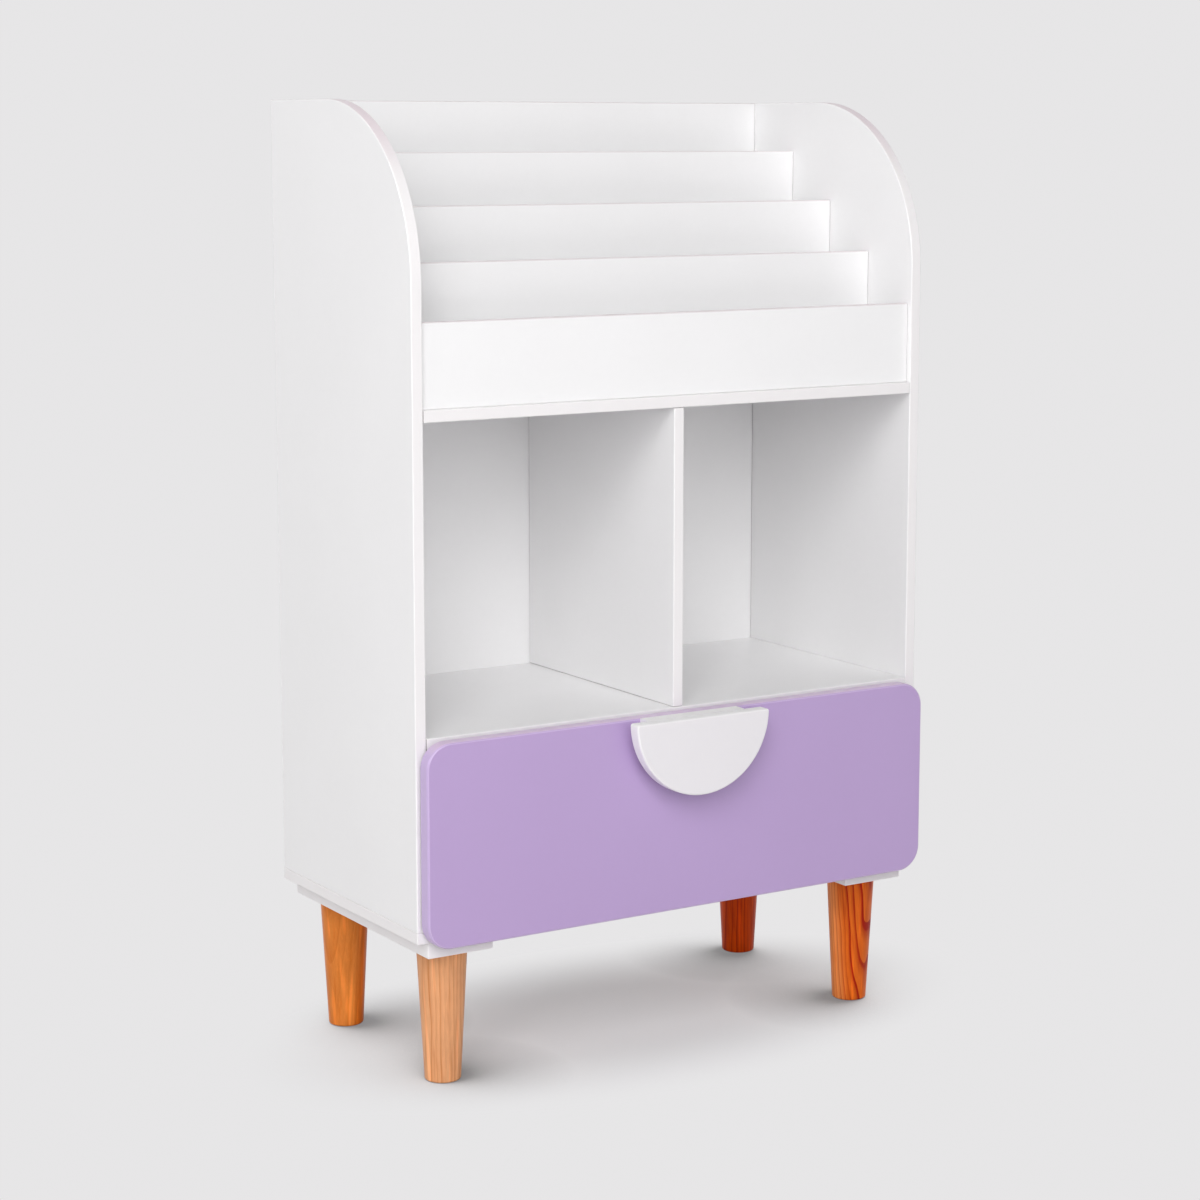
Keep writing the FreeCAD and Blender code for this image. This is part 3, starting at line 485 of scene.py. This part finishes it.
# Pieces
class BOOKSHELF_OT_boards(bpy.types.Operator):
    """Lacquers the white boards of the carcass, the drawer box and the handle"""

    bl_idname = "bookshelf.boards"
    bl_label = "White Boards"

    def execute(self, context):
        finish = context.scene.bookshelf_boards
        plain = (finish.white, finish.white_edge, finish.white_top_shade, finish.white_rim_highlight)
        # The handle's edges, upward faces and corners all take the rim tone, a painted highlight.
        highlighted_handle = (finish.handle, finish.white_rim_highlight, finish.white_rim_highlight, finish.white_rim_highlight)
        for name, axis, butt, rear, glued, tones, glue, boards in (
            ("White side boards", X_AXIS, NO_AXIS, NO_AXIS, Y_AXIS, plain, FULL_LINE, SIDE_BOARDS),
            ("White upright boards", X_AXIS, Z_AXIS, Y_AXIS, NO_AXIS, plain, NO_LINE, UPRIGHT_BOARDS),
            ("White facing boards", Y_AXIS, X_AXIS, NO_AXIS, Z_AXIS, plain, FULL_LINE, FACING_BOARDS),
            ("White cubby floor", Z_AXIS, X_AXIS, NO_AXIS, NO_AXIS, plain, NO_LINE, CUBBY_FLOOR),
            ("White level boards", Z_AXIS, X_AXIS, NO_AXIS, Z_AXIS, plain, FAINT_LINE, LEVEL_BOARDS),
            ("White base boards", Z_AXIS, NO_AXIS, NO_AXIS, Z_AXIS, plain, FAINT_LINE, BASE_BOARDS),
            ("White handle", Y_AXIS, NO_AXIS, NO_AXIS, NO_AXIS, highlighted_handle, NO_LINE, HANDLE),
        ):
            dress(boards, lacquered_board(name, finish, axis, butt, rear, glued, tones, glue))
        return {"FINISHED"}


class BOOKSHELF_OT_drawer_front(bpy.types.Operator):
    """Lacquers the lilac drawer front"""

    bl_idname = "bookshelf.drawer_front"
    bl_label = "Drawer Front"

    def execute(self, context):
        finish = context.scene.bookshelf_boards
        tones = (finish.lilac, finish.lilac_edge, finish.lilac_top_highlight, finish.lilac_rim_highlight)
        lilac = lacquered_board("Lilac drawer front", finish, Y_AXIS, NO_AXIS, NO_AXIS, NO_AXIS, tones,
                                NO_LINE)
        dress(["drawer_front"], lilac)
        return {"FINISHED"}


class BOOKSHELF_OT_legs(bpy.types.Operator):
    """Gives each turned leg its own piece of pine"""

    bl_idname = "bookshelf.legs"
    bl_label = "Turned Legs"

    def execute(self, context):
        finish = context.scene.bookshelf_legs
        for name, pith, lean, core, rings, contrast, early, young, late in (
            ("front_left_leg", (0.053, -0.029), (0.01, 0.015), 0.0, 0.9, 0.62,
             finish.tan, finish.tan, finish.tan_rings),
            ("rear_left_leg", (-0.075, -0.03), (0.05, -0.04), 0.077, 1.5, 0.8,
             finish.amber, finish.amber_core, finish.amber_rings),
            ("front_right_leg", (-0.0188, 0.0409), (0.02, 0.01), 0.052, 0.85, 1.5,
             finish.russet, finish.russet_core, finish.russet_rings),
            ("rear_right_leg", (0.06, -0.03), (0.03, 0.02), 0.0, 0.9, 0.9,
             finish.umber, finish.umber, finish.umber_rings),
        ):
            low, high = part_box(name)
            middle = (Vector(low) + Vector(high)) / 2
            label = "Pine " + name.replace("_", " ")
            ring = rings * finish.ring
            pine = turned_pine(label, finish, middle, pith, lean, core, ring, contrast, early, young, late)
            dress([name], pine)
        return {"FINISHED"}


class BOOKSHELF_OT_drawer_bottom(bpy.types.Operator):
    """Gives the drawer bottom a white printed face and a brown back"""

    bl_idname = "bookshelf.drawer_bottom"
    bl_label = "Drawer Bottom"

    def execute(self, context):
        finish = context.scene.bookshelf_fittings
        material, tree, surface = new_material("Hardboard")
        place = tree.add("TexCoord").outputs["Object"]
        normal = tree.add("NewGeometry").outputs["Normal"]
        upward = tree.fade(tree.vector("DOT_PRODUCT", normal, Z_AXIS), 0.4, 0.6)
        pulp = tree.noise(place, scale=420.0, detail=4.0, roughness=0.7)
        back = tree.mix(tree.fade(pulp, 0.35, 0.7), finish.hardboard_back, finish.hardboard_fibre)
        worn = tree.fade(pulp, 0.3, 0.8, 0.0, 0.12)
        face = tree.mix(worn, finish.hardboard_face, finish.hardboard_back)
        tree.feed(surface.inputs["Base Color"], tree.mix(upward, back, face))
        tree.feed(surface.inputs["Roughness"], tree.line(upward, -0.25, 0.75))
        relief(tree, surface, pulp, depth=0.0002, strength=0.2)
        dress(["drawer_bottom"], material)
        return {"FINISHED"}


class BOOKSHELF_OT_runners(bpy.types.Operator):
    """Coats the steel runners and moulds the nylon rollers"""

    bl_idname = "bookshelf.runners"
    bl_label = "Runners and Rollers"

    def execute(self, context):
        finish = context.scene.bookshelf_fittings
        dress(RUNNERS, plated("Epoxy-coated runner", finish.epoxy, grain=1500.0, rough=0.42, strength=0.2))
        dress(ROLLERS, plated("Nylon roller", finish.nylon, grain=900.0, rough=0.5, strength=0.1))
        return {"FINISHED"}


class BOOKSHELF_OT_fasteners(bpy.types.Operator):
    """Plates the screws, bolts and cams, and leaves the dowels as raw beech"""

    bl_idname = "bookshelf.fasteners"
    bl_label = "Fasteners"

    def execute(self, context):
        finish = context.scene.bookshelf_fittings
        dress(STEEL_FITTINGS, plated("Zinc-plated steel", finish.zinc, grain=1200.0, rough=0.3,
                                     strength=0.12, metallic=1.0))
        dress(CAST_FITTINGS, plated("Die-cast zinc", finish.cast_zinc, grain=1000.0, rough=0.48,
                                    strength=0.25, metallic=1.0))
        material, tree, surface = new_material("Raw beech")
        place = tree.add("TexCoord").outputs["Object"]
        wood = tree.use(group("Wood figure", build_figure), Place=place, Early=finish.beech,
                        Young=finish.beech, Late=finish.beech_late, Core=0.0, Ring=DOWEL_RING, Contrast=0.6)
        tree.feed(surface.inputs["Base Color"], wood["Color"])
        tree.feed(surface.inputs["Roughness"], tree.math("ADD", wood["Roughness"], DOWEL_ROUGHNESS))
        relief(tree, surface, wood["Height"], depth=0.0002, strength=0.3)
        dress(DOWELS, material)
        return {"FINISHED"}


# Studio
class BOOKSHELF_OT_stage(bpy.types.Operator):
    """Adds the floor, the soft light and the camera"""

    bl_idname = "bookshelf.stage"
    bl_label = "Studio"

    def execute(self, context):
        studio = context.scene.bookshelf_studio
        context.scene.view_settings.view_transform = "Standard"
        lay_floor(studio)
        light_dome(context.scene, studio)
        hang_soft_boxes(studio)
        place_camera(context.scene, studio)
        return {"FINISHED"}


def lay_floor(studio):
    """A wide floor that takes the shadow near the object and fades into the backdrop further out."""
    bpy.ops.object.select_all(action="DESELECT")
    bpy.ops.mesh.primitive_plane_add(size=FLOOR_SIDE)
    floor = bpy.context.active_object
    floor.name = "studio_floor"
    material = bpy.data.materials.new("Studio floor")
    tree = emptied(material)
    place = tree.add("TexCoord").outputs["Object"]
    cloud = tree.fade(tree.noise(place, scale=3.0), 0.2, 0.8, -0.004, 0.004)
    grey = tree.add("CombineXYZ", {"X": cloud, "Y": cloud, "Z": cloud}).outputs[0]
    tint = tree.vector("ADD", studio.floor, grey)
    contact = contact_shade(tree, place)
    lit = tree.add("BsdfDiffuse", {"Color": tree.scale(tint, contact)})
    plain = tree.add("Emission", {"Color": studio.backdrop, "Strength": contact})
    spread = tree.vector("LENGTH", tree.vector("DIVIDE", place, SHADOW_ELLIPSE))
    far = tree.fade(spread, BACKDROP_BEGINS, BACKDROP_PLAIN)
    ground = tree.blend(tree.math("MULTIPLY", far, backdrop_rays(tree)), lit, plain)
    below = tree.add("NewGeometry").outputs["Backfacing"]
    both = tree.blend(below, ground, tree.add("BsdfTransparent"))
    tree.add("OutputMaterial", {"Surface": both.outputs[0]})
    floor.data.materials.append(material)


def contact_shade(tree, place):
    """Shade beside the feet, deepest on their inner side: it looks outwards from the object's middle."""
    outward = tree.vector("NORMALIZE", tree.vector("MULTIPLY", place, (1.0, 1.0, 0.0)))
    look = tree.vector("NORMALIZE", tree.vector("ADD", outward, CONTACT_SLOPE))
    open_sky = tree.add("AmbientOcclusion", {"Distance": CONTACT_REACH, "Normal": look}, samples=16)
    shade = tree.line(open_sky.outputs["AO"], CONTACT_GAIN, 1.0 - CONTACT_GAIN)
    return tree.math("MAXIMUM", shade, CONTACT_DARKEST)


def backdrop_rays(tree):
    """One for the rays that show the plain backdrop, and nought for those that carry light."""
    rays = tree.add("LightPath").outputs
    return tree.math("MAXIMUM", tree.math("MAXIMUM", rays["Is Camera Ray"], rays["Is Glossy Ray"]),
                     rays["Is Transmission Ray"])


def light_dome(scene, studio):
    """A soft sky behind and to the right of the object, seen as the plain backdrop."""
    scene.world = bpy.data.worlds.new("Studio dome")
    tree = emptied(scene.world)
    way = tree.add("TexCoord").outputs["Generated"]
    light = []
    for middle, strength in ((Y_AXIS, studio.sky_behind), (X_AXIS, studio.sky_right)):
        raised = (Vector(middle) + SKY_RISE * Vector(Z_AXIS)).normalized()
        towards = tree.math("MAXIMUM", tree.vector("DOT_PRODUCT", way, raised), 0.0)
        light.append(tree.math("MULTIPLY", tree.math("MULTIPLY", towards, towards), strength))
    sky = tree.add("Background", {"Color": (1.0, 1.0, 1.0), "Strength": tree.math("ADD", *light)})
    plain = tree.add("Background", {"Color": studio.backdrop, "Strength": 1.0})
    both = tree.blend(backdrop_rays(tree), sky, plain)
    tree.add("OutputWorld", {"Surface": both.outputs[0]})


def hang_soft_boxes(studio):
    """Square soft boxes in front of the object and to its left, turned to its middle."""
    aim = Vector(SOFT_BOX_AIM)
    for name, place, side, part in SOFT_BOXES:
        turn = (aim - Vector(place)).to_track_quat("-Z", "Y").to_euler()
        bpy.ops.object.light_add(type="AREA", location=place, rotation=turn)
        box = bpy.context.active_object
        box.name = name
        box.data.shape = "SQUARE"
        box.data.size = side
        box.data.energy = part * studio.power
        box.visible_camera = False


def place_camera(scene, studio):
    """The camera where the photograph was taken from: in front, to the left and nearly as high as the top."""
    turn = (math.radians(90.0 - CAMERA_DROP), 0.0, math.radians(-CAMERA_TURN))
    bpy.ops.object.camera_add(location=CAMERA_PLACE, rotation=turn)
    camera = bpy.context.active_object
    camera.name = "photo_camera"
    camera.data.lens = studio.lens
    camera.data.sensor_width = SENSOR_WIDTH
    camera.data.shift_y = studio.shift
    scene.camera = camera


# Panel and registration
class BOOKSHELF_PT_panel(bpy.types.Panel):
    """Lists the bookshelf's finishes and the steps that apply them"""

    bl_idname = "BOOKSHELF_PT_panel"
    bl_label = "Bookshelf"
    bl_space_type = "VIEW_3D"
    bl_region_type = "UI"
    bl_category = "Bookshelf"

    def draw(self, context):
        layout = self.layout
        for operator in OPERATORS:
            layout.operator(operator.bl_idname)
        for settings in SETTINGS:
            values = getattr(context.scene, settings)
            column = layout.column()
            for name in values.__annotations__:
                column.prop(values, name)


SETTINGS = {
    "bookshelf_boards": BoardFinish,
    "bookshelf_legs": LegFinish,
    "bookshelf_fittings": FittingFinish,
    "bookshelf_studio": StudioSettings,
}
OPERATORS = (
    BOOKSHELF_OT_boards,
    BOOKSHELF_OT_drawer_front,
    BOOKSHELF_OT_legs,
    BOOKSHELF_OT_drawer_bottom,
    BOOKSHELF_OT_runners,
    BOOKSHELF_OT_fasteners,
    BOOKSHELF_OT_stage,
)


def register():
    for settings in SETTINGS.values():
        bpy.utils.register_class(settings)
    for name, settings in SETTINGS.items():
        setattr(bpy.types.Scene, name, PointerProperty(type=settings))
    for operator in OPERATORS:
        bpy.utils.register_class(operator)
    bpy.utils.register_class(BOOKSHELF_PT_panel)


def unregister():
    bpy.utils.unregister_class(BOOKSHELF_PT_panel)
    for operator in reversed(OPERATORS):
        bpy.utils.unregister_class(operator)
    for name, settings in reversed(SETTINGS.items()):
        delattr(bpy.types.Scene, name)
        bpy.utils.unregister_class(settings)


def main():
    """Registers the add-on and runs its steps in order."""
    register()
    bpy.ops.bookshelf.boards()
    bpy.ops.bookshelf.drawer_front()
    bpy.ops.bookshelf.legs()
    bpy.ops.bookshelf.drawer_bottom()
    bpy.ops.bookshelf.runners()
    bpy.ops.bookshelf.fasteners()
    bpy.ops.bookshelf.stage()


if __name__ == "__main__":
    main()
